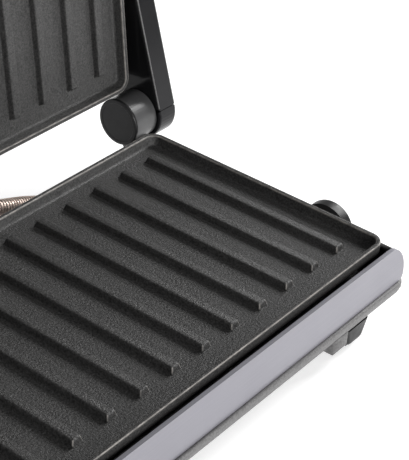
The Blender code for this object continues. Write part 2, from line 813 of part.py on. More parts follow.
def lid_frame():
    """The lower shell of the lid, a deep ring round the upper plate."""
    levels = [
        lid_level(0.0, FRAME_HIGH),
        lid_level(0.0, FRAME_LOW + 0.0020),
        lid_level(0.0006, FRAME_LOW + 0.0006),
        lid_level(0.0016, FRAME_LOW),
        lid_inner_level(FRAME_LOW),
        lid_inner_level(FRAME_HIGH),
    ]
    return rounded_shell("lid_frame", levels, GLOSS_BLACK, closed=True)


def lid_cover():
    """The domed cover over the frame, hollow below, with a shallow recess in its top for the panel."""
    outer = [lid_level(0.0, FRAME_HIGH + GAP)]
    for step in range(6):
        angle = math.radians(90 * step / 5)
        inset = 0.0110 * (1 - math.cos(angle))
        outer.append(lid_level(inset, LID_TOP - 0.0110 + 0.0110 * math.sin(angle), 0.0160))
    outer += [lid_level(0.0170, LID_TOP), lid_level(0.0174, LID_TOP - 0.0010)]
    inner = [lid_inner_level(FRAME_HIGH + GAP), lid_inner_level(LID_TOP - 0.0110)]
    inner += [lid_inner_level(LID_TOP - 0.0034, 0.0080)]
    shape = bmesh.new()
    steps = 4

    def ring_points(level):
        half, front, back, z, front_radius, back_radius = level
        return [(x, y, z) for x, y in rounded_ring(-half, half, front, back, front_radius, back_radius, steps)]

    loft(shape, [ring_points(level) for level in [*reversed(inner), *outer]])
    return from_bmesh("lid_cover", shape, GLOSS_BLACK)


lid = [upper_plate, lid_frame(), lid_cover(), bush_upper]
PANEL_LOW = LID_TOP - 0.0010 + GAP
panel_levels = [
    lid_level(0.0180, PANEL_LOW, 0.0160),
    lid_level(0.0180, PANEL_LOW + 0.0008, 0.0160),
    lid_level(0.0188, PANEL_LOW + 0.0014, 0.0160),
]
lid.append(rounded_shell("lid_panel", panel_levels, SATIN_SILVER))
lid += heater("upper", LID_FLOOR_Z + PLATE_THICKNESS, 1)
LENS_Y = BODY_FRONT + 0.0006 + 0.0115
for x, name, lens in ((-0.008, "power_lens", RED_LENS), (0.008, "ready_lens", GREEN_LENS)):
    lid.append(
        cylinder(name, (x, LENS_Y, LID_TOP + GAP), (0, 0, 1), 0.0026, 0.0012, lens, 16, tip_radius=0.0018)
    )
for side, side_name in ((-1, "left"), (1, "right")):
    lid.append(
        cylinder(
            f"float_pin_{side_name}",
            (side * (LID_WIDTH / 2 + GAP), FLOAT_PIN_Y, FLOAT_PIN_Z),
            (side, 0, 0),
            FLOAT_PIN_RADIUS,
            ARM_INNER + 0.0060 - LID_WIDTH / 2 - GAP,
            STEEL,
            16,
        )
    )
ride(lid_float_axis, FROM_HINGE, *lid)

bail_axis.rotation_euler = (-OPEN_ANGLE, 0, 0)
bpy.context.view_layer.update()
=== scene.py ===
"""Looks of an open panini press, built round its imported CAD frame."""

import json
import math

import bmesh
import bpy
from mathutils import Matrix, Vector


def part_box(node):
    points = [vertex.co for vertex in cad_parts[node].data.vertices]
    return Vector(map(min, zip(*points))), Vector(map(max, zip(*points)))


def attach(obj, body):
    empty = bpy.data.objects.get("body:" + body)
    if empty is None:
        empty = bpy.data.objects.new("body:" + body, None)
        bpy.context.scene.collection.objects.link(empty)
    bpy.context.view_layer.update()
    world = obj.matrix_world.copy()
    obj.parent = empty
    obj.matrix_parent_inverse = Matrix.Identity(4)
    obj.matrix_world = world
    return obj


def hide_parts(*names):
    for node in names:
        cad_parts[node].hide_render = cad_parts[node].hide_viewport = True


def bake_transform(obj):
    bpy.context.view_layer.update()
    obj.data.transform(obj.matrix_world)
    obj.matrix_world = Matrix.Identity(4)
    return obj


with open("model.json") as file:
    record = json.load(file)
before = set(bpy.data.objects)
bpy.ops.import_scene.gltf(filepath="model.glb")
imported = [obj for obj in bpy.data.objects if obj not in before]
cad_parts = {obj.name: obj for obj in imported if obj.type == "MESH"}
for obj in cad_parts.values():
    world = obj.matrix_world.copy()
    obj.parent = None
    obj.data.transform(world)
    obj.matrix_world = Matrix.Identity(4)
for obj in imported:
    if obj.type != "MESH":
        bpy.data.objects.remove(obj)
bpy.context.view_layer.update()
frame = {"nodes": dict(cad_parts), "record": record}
nodes = frame["nodes"]
scene = bpy.context.scene

# ---------------------------------------------------------------- places, all from the CAD frame

joints = {joint["name"]: joint for joint in frame["record"]["behaviour"]["joints"]}
HINGE = Vector(joints["lid_hinge"]["pos_m"])
OPEN_ANGLE = math.radians(joints["lid_hinge"]["range_deg"][1])
KNOB_AXIS = Vector(joints["knob_turn"]["pos_m"])
OPENED = (
    Matrix.Translation(HINGE) @ Matrix.Rotation(-OPEN_ANGLE, 4, "X") @ Matrix.Translation(-HINGE)
)
CLOSED = OPENED.inverted()


def closed_box(node):
    """The corners of a lid or bail node's box once the press is closed."""
    points = [CLOSED @ vertex.co for vertex in nodes[node].data.vertices]
    return tuple(Vector(tuple(pick(p[i] for p in points) for i in range(3))) for pick in (min, max))


# ---------------------------------------------------------------- material nodes


class Finish:
    """A Principled material and short ways to add procedural detail to it."""

    def __init__(self, name, color, roughness, metallic=0.0, **sockets):
        self.name = name
        self.material = bpy.data.materials.new(name)
        self.material.use_nodes = True
        self.tree = self.material.node_tree
        self.shader = self.tree.nodes["Principled BSDF"]
        self.shader.inputs["Base Color"].default_value = (*color, 1.0)
        self.shader.inputs["Roughness"].default_value = roughness
        self.shader.inputs["Metallic"].default_value = metallic
        for socket, value in sockets.items():
            self.shader.inputs[socket.replace("_", " ")].default_value = value
        self.color = color
        self.place = self.tree.nodes.new("ShaderNodeTexCoord").outputs["Object"]
        self.normal = None

    def link(self, start, end):
        self.tree.links.new(start, end)

    def stretched(self, scale):
        """Object coordinates scaled along each axis."""
        mapping = self.tree.nodes.new("ShaderNodeMapping")
        mapping.inputs["Scale"].default_value = scale
        self.link(self.place, mapping.inputs["Vector"])
        return mapping.outputs["Vector"]

    def noise(self, size, detail=3.0, roughness=0.5, stretch=None):
        """Noise whose features are about size metres across."""
        node = self.tree.nodes.new("ShaderNodeTexNoise")
        node.inputs["Scale"].default_value = 1.0 / size
        node.inputs["Detail"].default_value = detail
        node.inputs["Roughness"].default_value = roughness
        self.link(self.stretched(stretch) if stretch else self.place, node.inputs["Vector"])
        return node.outputs["Fac"]

    def ramp(self, value, stops):
        """value turned into a colour or grey by stops of (position, colour or grey)."""
        node = self.tree.nodes.new("ShaderNodeValToRGB")
        elements = node.color_ramp.elements
        while len(elements) < len(stops):
            elements.new(0.5)
        for element, (position, color) in zip(elements, stops):
            element.position = position
            shade = color if isinstance(color, tuple) else (color,) * 3
            element.color = (*shade, 1.0)
        self.link(value, node.inputs["Fac"])
        return node.outputs["Color"]

    def tint(self, value, dark, light, low=0.35, high=0.65):
        """Base colour that varies between two shades of the finish's own colour."""
        shades = ((low, dark), (high, light))
        stops = [(position, tuple(c * share for c in self.color)) for position, share in shades]
        self.link(self.ramp(value, stops), self.shader.inputs["Base Color"])
        return self

    def edge_highlight(self, color, size):
        """Mixes in a lighter colour as a painted highlight, on the edges that the mesh's per-vertex
        attribute marks.
        """
        attribute = self.tree.nodes.new("ShaderNodeAttribute")
        attribute.attribute_name = "painted_highlight"
        patchy_highlight = self.tree.nodes.new("ShaderNodeMath")
        patchy_highlight.operation = "MULTIPLY"
        self.link(attribute.outputs["Fac"], patchy_highlight.inputs[0])
        self.link(self.ramp(self.noise(size, 4.0), [(0.30, 0.35), (0.60, 1.0)]), patchy_highlight.inputs[1])
        mix = self.tree.nodes.new("ShaderNodeMix")
        mix.data_type = "RGBA"
        self.link(patchy_highlight.outputs["Value"], mix.inputs[0])
        link = self.shader.inputs["Base Color"].links[0]
        self.link(link.from_socket, mix.inputs[6])
        mix.inputs[7].default_value = (*color, 1.0)
        self.link(mix.outputs[2], self.shader.inputs["Base Color"])
        return self

    def rough(self, value, low_value, high_value, low=0.35, high=0.65):
        stops = [(low, low_value), (high, high_value)]
        self.link(self.ramp(value, stops), self.shader.inputs["Roughness"])
        return self

    def bump(self, value, height, strength=1.0):
        node = self.tree.nodes.new("ShaderNodeBump")
        node.inputs["Distance"].default_value = height
        node.inputs["Strength"].default_value = strength
        self.link(value, node.inputs["Height"])
        if self.normal:
            self.link(self.normal, node.inputs["Normal"])
        self.normal = node.outputs["Normal"]
        self.link(self.normal, self.shader.inputs["Normal"])
        return self


def make_finishes():
    nonstick = Finish("nonstick_coating", (0.026, 0.0255, 0.0250), 0.42, Specular_IOR_Level=0.42)
    nonstick.tint(nonstick.noise(0.0009, 2.0, 0.7), 0.45, 2.1, 0.36, 0.66)
    # painted highlight: a lighter grey on the rim's edges and the ridges' front edges, where they catch the
    # light
    nonstick.edge_highlight((0.30, 0.28, 0.26), 0.004)
    nonstick.rough(nonstick.noise(0.020, 4.0), 0.40, 0.52)
    nonstick.bump(nonstick.noise(0.0011, 4.0, 0.7), 0.00040, 1.0)
    grey = Finish("grey_plastic", (0.115, 0.113, 0.113), 0.50, Specular_IOR_Level=0.4)
    grey.tint(grey.noise(0.0010), 0.75, 1.25)
    grey.rough(grey.noise(0.030), 0.45, 0.55)
    grey.bump(grey.noise(0.0009, 2.0), 0.00010, 0.6)
    black = Finish("black_plastic", (0.012, 0.012, 0.0125), 0.40, Specular_IOR_Level=0.24)
    black.tint(black.noise(0.012), 0.85, 1.15)
    black.rough(black.noise(0.004), 0.34, 0.44)
    black.bump(black.noise(0.0007, 2.0), 0.00005, 0.5)
    gloss = Finish("gloss_black", (0.011, 0.011, 0.012), 0.16, Specular_IOR_Level=0.17)
    gloss.tint(gloss.noise(0.030), 0.9, 1.1)
    gloss.rough(gloss.noise(0.018, 5.0, 0.6), 0.11, 0.20)
    gloss.bump(gloss.noise(0.040, 1.0), 0.00012, 0.25)
    silver = Finish("satin_silver", (0.212, 0.208, 0.234), 0.36, 0.40)
    silver.tint(silver.noise(0.0006, 3.0, 0.6, (0.02, 1.0, 1.0)), 0.97, 1.03)
    silver.rough(silver.noise(0.025, 3.0), 0.28, 0.36)
    silver.bump(silver.noise(0.0005, 2.0, 0.5, (0.02, 1.0, 1.0)), 0.00002, 0.35)
    boss = Finish("hinge_boss", (0.050, 0.050, 0.051), 0.30, Specular_IOR_Level=0.55)
    boss.tint(boss.noise(0.010), 0.9, 1.1)
    boss.rough(boss.noise(0.006), 0.28, 0.36)
    boss.bump(boss.noise(0.0007, 2.0), 0.00004, 0.4)
    steel = Finish("steel", (0.56, 0.55, 0.54), 0.34, 1.0)
    steel.tint(steel.noise(0.006), 0.9, 1.05)
    steel.rough(steel.noise(0.0012, 3.0, 0.5, (0.1, 1.0, 1.0)), 0.26, 0.42)
    steel.bump(steel.noise(0.0008), 0.00002, 0.4)
    sheet = Finish("aluminium_sheet", (0.72, 0.72, 0.73), 0.28, 1.0)
    sheet.tint(sheet.noise(0.010), 0.93, 1.03)
    sheet.rough(sheet.noise(0.0009, 3.0, 0.5, (0.05, 1.0, 1.0)), 0.22, 0.38)
    sheet.bump(sheet.noise(0.030, 2.0), 0.0004, 0.3)
    rubber = Finish("rubber", (0.020, 0.020, 0.020), 0.75)
    rubber.tint(rubber.noise(0.004), 0.8, 1.25)
    rubber.bump(rubber.noise(0.0006), 0.00008, 0.6)
    conduit = Finish("conduit_metal", (0.78, 0.64, 0.56), 0.38, 0.65)
    conduit.tint(conduit.noise(0.004), 0.85, 1.1)
    conduit.rough(conduit.noise(0.002), 0.28, 0.48)
    conduit.bump(conduit.noise(0.0004), 0.00003, 0.4)
    ceramic = Finish("ceramic", (0.78, 0.76, 0.70), 0.55)
    ceramic.tint(ceramic.noise(0.005), 0.93, 1.02)
    ceramic.bump(ceramic.noise(0.0008), 0.00004, 0.5)
    mark = Finish("pointer_white", (0.75, 0.75, 0.74), 0.45)
    mark.tint(mark.noise(0.002), 0.94, 1.02)
    finishes = [boss, nonstick, grey, black, gloss, silver, steel, sheet, rubber, conduit, ceramic, mark]
    for name, color in (("red_lens", (0.55, 0.020, 0.015)), ("green_lens", (0.020, 0.35, 0.070))):
        lens = Finish(name, color, 0.10, Transmission_Weight=0.35, Coat_Weight=0.5)
        lens.tint(lens.noise(0.0012), 0.8, 1.1)
        finishes.append(lens)
    return {finish.name: finish.material for finish in finishes}


FINISHES = make_finishes()
for row in frame["record"]["subparts"]:
    for material_slot in nodes[row["node"]].material_slots:
        is_boss = row["node"].startswith("hinge_barrel_")
        material_slot.material = FINISHES["hinge_boss" if is_boss else row["material_slot"]]

# ---------------------------------------------------------------- modelling helpers

collection = bpy.data.collections.new("looks")
scene.collection.children.link(collection)


def piece(name, shape, finish, body, place=None, replaces=(), sharp=32):
    """Turns a bmesh into a piece that rides on a body and takes its finish from a slot of the record."""
    if place:
        bmesh.ops.transform(shape, matrix=place, verts=shape.verts)
    bmesh.ops.recalc_face_normals(shape, faces=shape.faces)
    mesh = bpy.data.meshes.new(name)
    shape.to_mesh(mesh)
    shape.free()
    mesh.shade_smooth()
    mesh.set_sharp_from_angle(angle=math.radians(sharp))
    obj = bpy.data.objects.new(name, mesh)
    collection.objects.link(obj)
    mesh.materials.append(FINISHES[finish])
    if replaces:
        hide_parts(*replaces)
    if isinstance(body, str):
        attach(obj, body)
    return obj


def rounded_ring(x_low, x_high, y_low, y_high, radius, steps):
    """Points round a rectangle with rounded corners, steps + 1 of them at each corner."""
    corners = ((x_high, y_low, -90), (x_high, y_high, 0), (x_low, y_high, 90), (x_low, y_low, 180))
    points = []
    for x, y, start in corners:
        centre_x = x - math.copysign(radius, x - (x_low + x_high) / 2)
        centre_y = y - math.copysign(radius, y - (y_low + y_high) / 2)
        for step in range(steps + 1):
            angle = math.radians(start + 90 * step / steps)
            points.append((centre_x + radius * math.cos(angle), centre_y + radius * math.sin(angle)))
    return points


def loft(shape, rings, closed=False):
    """Joins rings of points into a skin, capped at both ends or closed end to end."""
    loops = [[shape.verts.new(point) for point in ring] for ring in rings]
    pairs = list(zip(loops, loops[1:]))
    if closed:
        pairs.append((loops[-1], loops[0]))
    for lower, upper in pairs:
        for i in range(len(lower)):
            j = (i + 1) % len(lower)
            shape.faces.new((lower[i], lower[j], upper[j], upper[i]))
    if not closed:
        shape.faces.new(list(reversed(loops[0])))
        shape.faces.new(loops[-1])


def box_into(shape, low, high, bevel=0.0, segments=3):
    """Adds a box with rounded edges to a shape."""
    made = bmesh.ops.create_cube(shape, size=1.0)["verts"]
    bmesh.ops.scale(shape, vec=[b - a for a, b in zip(low, high)], verts=made)
    bmesh.ops.translate(shape, vec=[(a + b) / 2 for a, b in zip(low, high)], verts=made)
    if bevel:
        edges = {edge for vertex in made for edge in vertex.link_edges}
        bmesh.ops.bevel(
            shape, geom=list(edges), offset=bevel, segments=segments, profile=0.5, affect="EDGES"
        )


def turned(shape, profile, centre, axis, segments=48):
    """Adds a turned body: profile is (distance along axis, radius) from one end to the other."""
    turn = Vector((0, 0, 1)).rotation_difference(Vector(axis)).to_matrix().to_4x4()
    place = Matrix.Translation(centre) @ turn
    rings = []
    for along, radius in profile:
        rings.append(
            [
                place @ Vector((radius * math.cos(a), radius * math.sin(a), along))
                for a in (2 * math.pi * i / segments for i in range(segments))
            ]
        )
    loft(shape, rings)


def sweep(shape, path, radius_at, segments=20):
    """Adds a round tube along path; radius_at gives the radius at each point's index."""
    side = Vector((1, 0, 0))
    rings = []
    for i, point in enumerate(path):
        ahead = path[min(i + 1, len(path) - 1)] - path[max(i - 1, 0)]
        ahead.normalize()
        side = side - ahead * side.dot(ahead)
        if side.length < 1e-4:
            side = ahead.orthogonal()
        side.normalize()
        across = ahead.cross(side)
        radius = radius_at(i)
        rings.append(
            [
                point + radius * (math.cos(a) * side + math.sin(a) * across)
                for a in (2 * math.pi * k / segments for k in range(segments))
            ]
        )
    loft(shape, rings)


# ---------------------------------------------------------------- grill plates

RIDGES = 11
RIDGE_PITCH = 0.020
RIDGE_LENGTH = 0.1172
RIDGE_SHIFT = 0.0010  # the ridges' middle lies behind the plate's
RIDGE_END_RADIUS = 0.0009
RIM_HEIGHT = 0.0052
PLATE_THICKNESS = 0.0040
PLATE_CORNER = 0.0075
RIDGE_SECTIONS = (  # height, width, how much shorter than the full ridge, painted highlight on the front edges
    (-0.0008, 0.0066, -0.0006, 0.0),
    (0.00005, 0.0064, -0.0005, 0.0),
    (0.0003, 0.0060, -0.0002, 0.0),
    (0.0007, 0.0058, 0.0000, 0.9),
    (0.0022, 0.0050, 0.0004, 1.0),
    (0.0027, 0.0046, 0.0006, 0.8),
    (0.0029, 0.0041, 0.0009, 0.0),
    (0.0030, 0.0034, 0.0013, 0.0),
)
FRONT_EDGES = (2, 3, 20, 21)  # points of a ridge's ring on its two upright front edges, which get the painted glint
RIM_SECTIONS = (  # inset, height above the plate's floor, painted highlight
    (0.0045, -PLATE_THICKNESS, 0.0),
    (0.0040, -PLATE_THICKNESS + 0.0002, 0.0),
    (0.0040, -0.0012, 0.0),
    (0.0010, -0.0009, 0.0),
    (0.0003, -0.0006, 0.0),
    (0.0000, 0.0002, 0.0),
    (0.0000, RIM_HEIGHT - 0.0007, 0.0),
    (0.00005, RIM_HEIGHT - 0.0003, 0.7),
    (0.0003, RIM_HEIGHT, 0.9),
    (0.0006, RIM_HEIGHT, 0.0),
    (0.0018, RIM_HEIGHT, 0.0),
    (0.0020, RIM_HEIGHT - 0.0001, 1.0),
    (0.0022, RIM_HEIGHT - 0.0004, 0.6),
    (0.0024, RIM_HEIGHT - 0.0009, 0.0),
    (0.0031, 0.0013, 0.0),
    (0.0034, 0.0006, 0.0),
    (0.0039, 0.0001, 0.0),
    (0.0046, 0.0, 0.0),
)


def plate_shape(low, high, floor_z, up):
    """A ribbed plate inside the box low to high; up is 1 or -1, the way its ribs stand from floor_z."""
    shape = bmesh.new()
    # each vertex's share of painted highlight: light lines on the rim's edges and glints on the ridges'
    # front edges
    painted_highlight = shape.verts.layers.float.new("painted_highlight")
    rings, painted_highlights = [], []
    for inset, height, edge_highlight in RIM_SECTIONS:
        corner = max(PLATE_CORNER - inset, 0.0016)
        ring = rounded_ring(low.x + inset, high.x - inset, low.y + inset, high.y - inset, corner, 12)
        rings.append([(x, y, floor_z + up * height) for x, y in ring])
        painted_highlights += [edge_highlight] * len(ring)
    loft(shape, rings)
    middle = Vector(((low.x + high.x) / 2, (low.y + high.y) / 2 + RIDGE_SHIFT))
    for index in range(RIDGES):
        x = middle.x + (index - (RIDGES - 1) / 2) * RIDGE_PITCH
        rings = []
        for height, width, shorten, edge_highlight in RIDGE_SECTIONS:
            half = RIDGE_LENGTH / 2 - shorten
            ring = rounded_ring(
                x - width / 2, x + width / 2, middle.y - half, middle.y + half, RIDGE_END_RADIUS, 5
            )
            rings.append([(px, py, floor_z + up * height) for px, py in ring])
            painted_highlights += [edge_highlight if i in FRONT_EDGES else 0.0 for i in range(len(ring))]
        loft(shape, rings)
    shape.verts.ensure_lookup_table()
    for vertex, edge_highlight in zip(shape.verts, painted_highlights):
        vertex[painted_highlight] = edge_highlight
    return shape


low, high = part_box("lower_grill_plate")
piece(
    "lower_plate", plate_shape(low, high, low.z + PLATE_THICKNESS, 1), "nonstick_coating", "base",
    replaces=["lower_grill_plate"], sharp=40,
)
low, high = closed_box("upper_grill_plate")
piece(
    "upper_plate", plate_shape(low, high, high.z - PLATE_THICKNESS, -1), "nonstick_coating", "lid",
    place=OPENED, replaces=["upper_grill_plate"], sharp=40,
)

# ---------------------------------------------------------------- cut shells


def cad_copy(node):
    """A bmesh of a CAD node's own mesh, as the start of a more detailed piece."""
    shape = bmesh.new()
    shape.from_mesh(nodes[node].data)
    bmesh.ops.remove_doubles(shape, verts=shape.verts, dist=1e-6)
    return shape


def carved(name, shape, cutter, finish, body, replaces):
    """shape with cutter's volume taken out of it, as a piece."""
    obj = piece(name, shape, finish, None, replaces=replaces, sharp=35)
    bmesh.ops.recalc_face_normals(cutter, faces=cutter.faces)
    mesh = bpy.data.meshes.new(name + "_cutter")
    cutter.to_mesh(mesh)
    cutter.free()
    tool = bpy.data.objects.new(name + "_cutter", mesh)
    collection.objects.link(tool)
    modifier = obj.modifiers.new("cut", "BOOLEAN")
    modifier.solver = "EXACT"
    modifier.object = tool
    graph = bpy.context.evaluated_depsgraph_get()
    result = bpy.data.meshes.new_from_object(obj.evaluated_get(graph))
    obj.modifiers.clear()
    if not result.polygons:
        raise RuntimeError(f"nothing is left of {name} after its cut")
    obj.data = result
    result.shade_smooth()
    result.set_sharp_from_angle(angle=math.radians(35))
    bpy.data.objects.remove(tool, do_unlink=True)
    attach(obj, body)
    return obj


def slots(places, low_to_high):
    """Cutter boxes at the given x places; low_to_high turns a place into two corners."""
    cutter = bmesh.new()
    for place in places:
        box_into(cutter, *low_to_high(place))
    return cutter


VENT_DEPTH = 0.0280
REAR_VENT_PITCH = 0.0070
SIDE_VENT_PITCH = 0.0060

tray_low, tray_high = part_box("base_tray")
housing_low, housing_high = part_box("base_housing")
vents = slots(
    [(column * 0.0105, row) for column in range(-7, 8) for row in (-0.052, -0.012)],
    lambda p: (
        (p[0] - 0.0016, p[1] - VENT_DEPTH / 2, tray_low.z - 0.001),
        (p[0] + 0.0016, p[1] + VENT_DEPTH / 2, tray_high.z + 0.001),
    ),
)
carved("tray_shell", cad_copy("base_tray"), vents, "grey_plastic", "base", ["base_tray"])
rear = slots(
    [column * REAR_VENT_PITCH for column in range(-6, 4)],
    lambda x: (
        (x - 0.0014, housing_high.y - 0.0060, housing_low.z + 0.0045),
        (x + 0.0014, housing_high.y + 0.0030, housing_low.z + 0.0125),
    ),
)
for side in (-1, 1):
    for step in range(8):
        y = -0.020 + SIDE_VENT_PITCH * step
        x = side * housing_high.x
        box_into(
            rear,
            (min(x - 0.004, x + 0.004), y - 0.0012, housing_low.z + 0.0030),
            (max(x - 0.004, x + 0.004), y + 0.0012, housing_low.z + 0.0085),
        )
carved("housing_shell", cad_copy("base_housing"), rear, "grey_plastic", "base", ["base_housing"])

# ---------------------------------------------------------------- conduit

RIB_PITCH = 0.0016
CONDUIT_RADIUS = 0.0045
BUSH_GAP = 0.0003
STRAIGHT = 0.0035  # of the conduit, out of each bush
RIB_STEPS = 6  # rings to one rib
RIB_DIP = 0.00045
LOWER_SHARE = 0.75  # of the conduit's rings, in the lower length


def smooth_path(knots, steps):
    """A curve through the knots, steps points to each stretch."""
    knots = [Vector(k) for k in knots]
    knots = [2 * knots[0] - knots[1], *knots, 2 * knots[-1] - knots[-2]]
    points = []
    for a, b, c, d in zip(knots, knots[1:], knots[2:], knots[3:]):
        for step in range(steps):
            t = step / steps
            squared = (2 * a - 5 * b + 4 * c - d) * t**2
            cubed = (3 * b - a - 3 * c + d) * t**3
            points.append(0.5 * (2 * b + (c - a) * t + squared + cubed))
    return [*points, knots[-2]]


def evenly(points, spacing):
    """The same path with points a fixed distance apart."""
    walked = [0.0]
    for a, b in zip(points, points[1:]):
        walked.append(walked[-1] + (b - a).length)
    count = int(walked[-1] / spacing)
    result, index = [], 0
    for step in range(count + 1):
        target = walked[-1] * step / count
        while index < len(points) - 2 and walked[index + 1] < target:
            index += 1
        share = (target - walked[index]) / max(walked[index + 1] - walked[index], 1e-9)
        result.append(points[index].lerp(points[index + 1], min(share, 1.0)))
    return result


def make_conduit():
    """The ribbed conduit from the base's bush to the lid's bush, in a lower and an upper length."""
    low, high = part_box("conduit_bush_lower")
    start = Vector(((low.x + high.x) / 2, high.y + BUSH_GAP, (low.z + high.z) / 2))
    low, high = closed_box("conduit_bush_upper")
    mouth = Vector(((low.x + high.x) / 2, high.y + BUSH_GAP, (low.z + high.z) / 2))
    end = OPENED @ mouth
    knots = (
        start + Vector((0, STRAIGHT, 0)),
        (0.0360, HINGE.y - 0.0022, 0.0306),
        (0.0250, HINGE.y - 0.0008, 0.0337),
        (0.0120, HINGE.y + 0.0020, 0.0370),
        (0.0, HINGE.y + 0.0050, 0.0410),
        OPENED @ (mouth + Vector((0, STRAIGHT, 0))),
    )
    path = evenly([start, *smooth_path(knots, 8), end], RIB_PITCH / RIB_STEPS)
    middle = int(len(path) * LOWER_SHARE) // RIB_STEPS * RIB_STEPS

    def radius_at(i):
        return CONDUIT_RADIUS - RIB_DIP * (0.5 - 0.5 * math.cos(2 * math.pi * i / RIB_STEPS)) ** 1.6

    for name, points, bodies in (
        ("conduit_lower", path[: middle + 1], ("base", "bail")),
        ("conduit_upper", path[middle:], ("bail", "lid")),
    ):
        shape = bmesh.new()
        sweep(shape, points, radius_at, segments=24)
        conduit = piece(name, shape, "conduit_metal", None, replaces=["wire_conduit"], sharp=60)
        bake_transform(conduit)


make_conduit()


def bush(name, node, body, place, box):
    """A moulded bush: flange, waist and a rounded mouth round the conduit."""
    low, high = box
    centre = ((low.x + high.x) / 2, low.y, (low.z + high.z) / 2)
    radius, length = (high.x - low.x) / 2, high.y - low.y
    shape = bmesh.new()
    profile = [
        (0.0, radius - 0.0003), (0.0003, radius), (0.0012, radius), (0.0015, radius - 0.0004),
        (0.0017, radius - 0.0010), (length - 0.0009, radius - 0.0010), (length - 0.0002, radius - 0.0013),
        (length, radius - 0.0017),
    ]
    turned(shape, profile, centre, (0, 1, 0))
    piece(name, shape, "black_plastic", body, place=place, replaces=[node])


bush("base_bush", "conduit_bush_lower", "base", None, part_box("conduit_bush_lower"))
bush("lid_bush", "conduit_bush_upper", "lid", OPENED, closed_box("conduit_bush_upper"))

# ---------------------------------------------------------------- temperature knob

KNOB_ROUND = 0.0016


def make_knob():
    """A plain round knob whose dished face carries a grip bar with a pointer line."""
    low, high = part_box("temperature_knob")
    radius, length = (high.z - low.z) / 2, high.x - low.x
    profile = [(0.0, radius - 0.0006), (0.0004, radius)]
    for step in range(7):
        angle = math.radians(15 * step)
        along = length - KNOB_ROUND + KNOB_ROUND * math.sin(angle)
        profile.append((along, radius - KNOB_ROUND + KNOB_ROUND * math.cos(angle)))
    profile += [(length, radius - 0.0030), (length - 0.0004, radius - 0.0034)]
    profile += [(length - 0.0020, radius - 0.0046), (length - 0.0022, 0.0010)]
    shape = bmesh.new()
    turned(shape, profile, (low.x, KNOB_AXIS.y, KNOB_AXIS.z), (1, 0, 0), 72)
    piece("control_knob", shape, "black_plastic", "knob", replaces=["temperature_knob"], sharp=45)
    reach = radius - 0.0040
    shape = bmesh.new()
    box_into(
        shape,
        (high.x - 0.0030, KNOB_AXIS.y - 0.0020, KNOB_AXIS.z - reach),
        (high.x - 0.0001, KNOB_AXIS.y + 0.0020, KNOB_AXIS.z + reach),
        0.0009,
    )
    piece("knob_bar", shape, "black_plastic", "knob")
    shape = bmesh.new()
    box_into(
        shape,
        (high.x - 0.0006, KNOB_AXIS.y - 0.0004, KNOB_AXIS.z + 0.0030),
        (high.x, KNOB_AXIS.y + 0.0004, KNOB_AXIS.z + reach - 0.0010),
        0.0001,
    )
    piece("knob_pointer", shape, "pointer_white", "knob")


make_knob()

# ---------------------------------------------------------------- bail: painted edge highlights and grip

ARM_SLOPE = math.radians(10.5)
ARM_FACE = 0.0148
ARM_END_RADIUS = 0.0104
ARM_LENGTH = 0.2040
ARM_INNER = 0.1244
# radius of the light grey bead that paints the highlight on each arm's inner lower edge
HIGHLIGHT_BEAD_RADIUS = 0.00045
GRIP_HALF = 0.060  # of the ribbed stretch
GRIP_PITCH = 0.005
GRIP_DIP = 0.00035
GRIP_FLAT = 0.0060  # between the bar's two rounded edges


def along_arm(s, t):
    """(y, z), closed, of a point s along the arm from the hinge axis and t above that line."""
    return (
        HINGE.y - s * math.cos(ARM_SLOPE) + t * math.sin(ARM_SLOPE),
        HINGE.z + s * math.sin(ARM_SLOPE) + t * math.cos(ARM_SLOPE),
    )


def make_painted_arm_highlight(side, side_name):
    """A fine light grey bead along an arm's inner lower edge, as a painted highlight where that edge
    catches the light.
    """
    outline = [(0.002 + 0.004 * i, -ARM_FACE + 0.0003) for i in range(int((ARM_LENGTH - 0.002) / 0.004))]
    centre = -ARM_FACE + ARM_END_RADIUS
    for step in range(19):
        angle = math.radians(-90 + 10 * step)
        reach = ARM_END_RADIUS - 0.0003
        outline.append((ARM_LENGTH + reach * math.cos(angle), centre + reach * math.sin(angle)))
    path = [Vector((side * (ARM_INNER + 0.0007), *along_arm(s, t))) for s, t in outline]
    shape = bmesh.new()
    sweep(shape, path, lambda i: HIGHLIGHT_BEAD_RADIUS, segments=10)
    # grey_plastic here is painted highlight, lighter than the arm's gloss black
    piece(f"arm_highlight_bead_{side_name}", shape, "grey_plastic", "bail", place=OPENED)


for side, side_name in ((-1, "left"), (1, "right")):
    make_painted_arm_highlight(side, side_name)


def make_grip():
    """The handle: a flattened bar with a ribbed soft underside between two plain ends."""
    low, high = closed_box("handle_grip")
    centre_t = -ARM_FACE + ARM_END_RADIUS
    stations = []
    x = low.x
    while x < high.x + 1e-6:
        stations.append(x)
        x += 0.0010 if abs(x) < GRIP_HALF + 0.002 else 0.0040
    stations.append(high.x)
    rings = []
    for x in stations:
        end = min(x - low.x, high.x - x)
        inset = 0.0006 * max(0.0, 1 - end / 0.0015) ** 2
        rib = 0.0 if abs(x) > GRIP_HALF else GRIP_DIP * (0.5 - 0.5 * math.cos(2 * math.pi * x / GRIP_PITCH))
        ring = []
        for step in range(40):
            angle = 2 * math.pi * step / 40
            under = max(0.0, -math.sin(angle))
            reach = ARM_END_RADIUS - inset - rib * under - 0.00005
            s = ARM_LENGTH + (0.0 if math.cos(angle) >= 0 else -GRIP_FLAT) + reach * math.cos(angle)
            ring.append((x, *along_arm(s, centre_t + reach * math.sin(angle))))
        rings.append(ring)
    shape = bmesh.new()
    loft(shape, rings)
    piece("handle_bar", shape, "black_plastic", "bail", place=OPENED, replaces=["handle_grip"], sharp=50)


make_grip()

# ---------------------------------------------------------------- lid trim


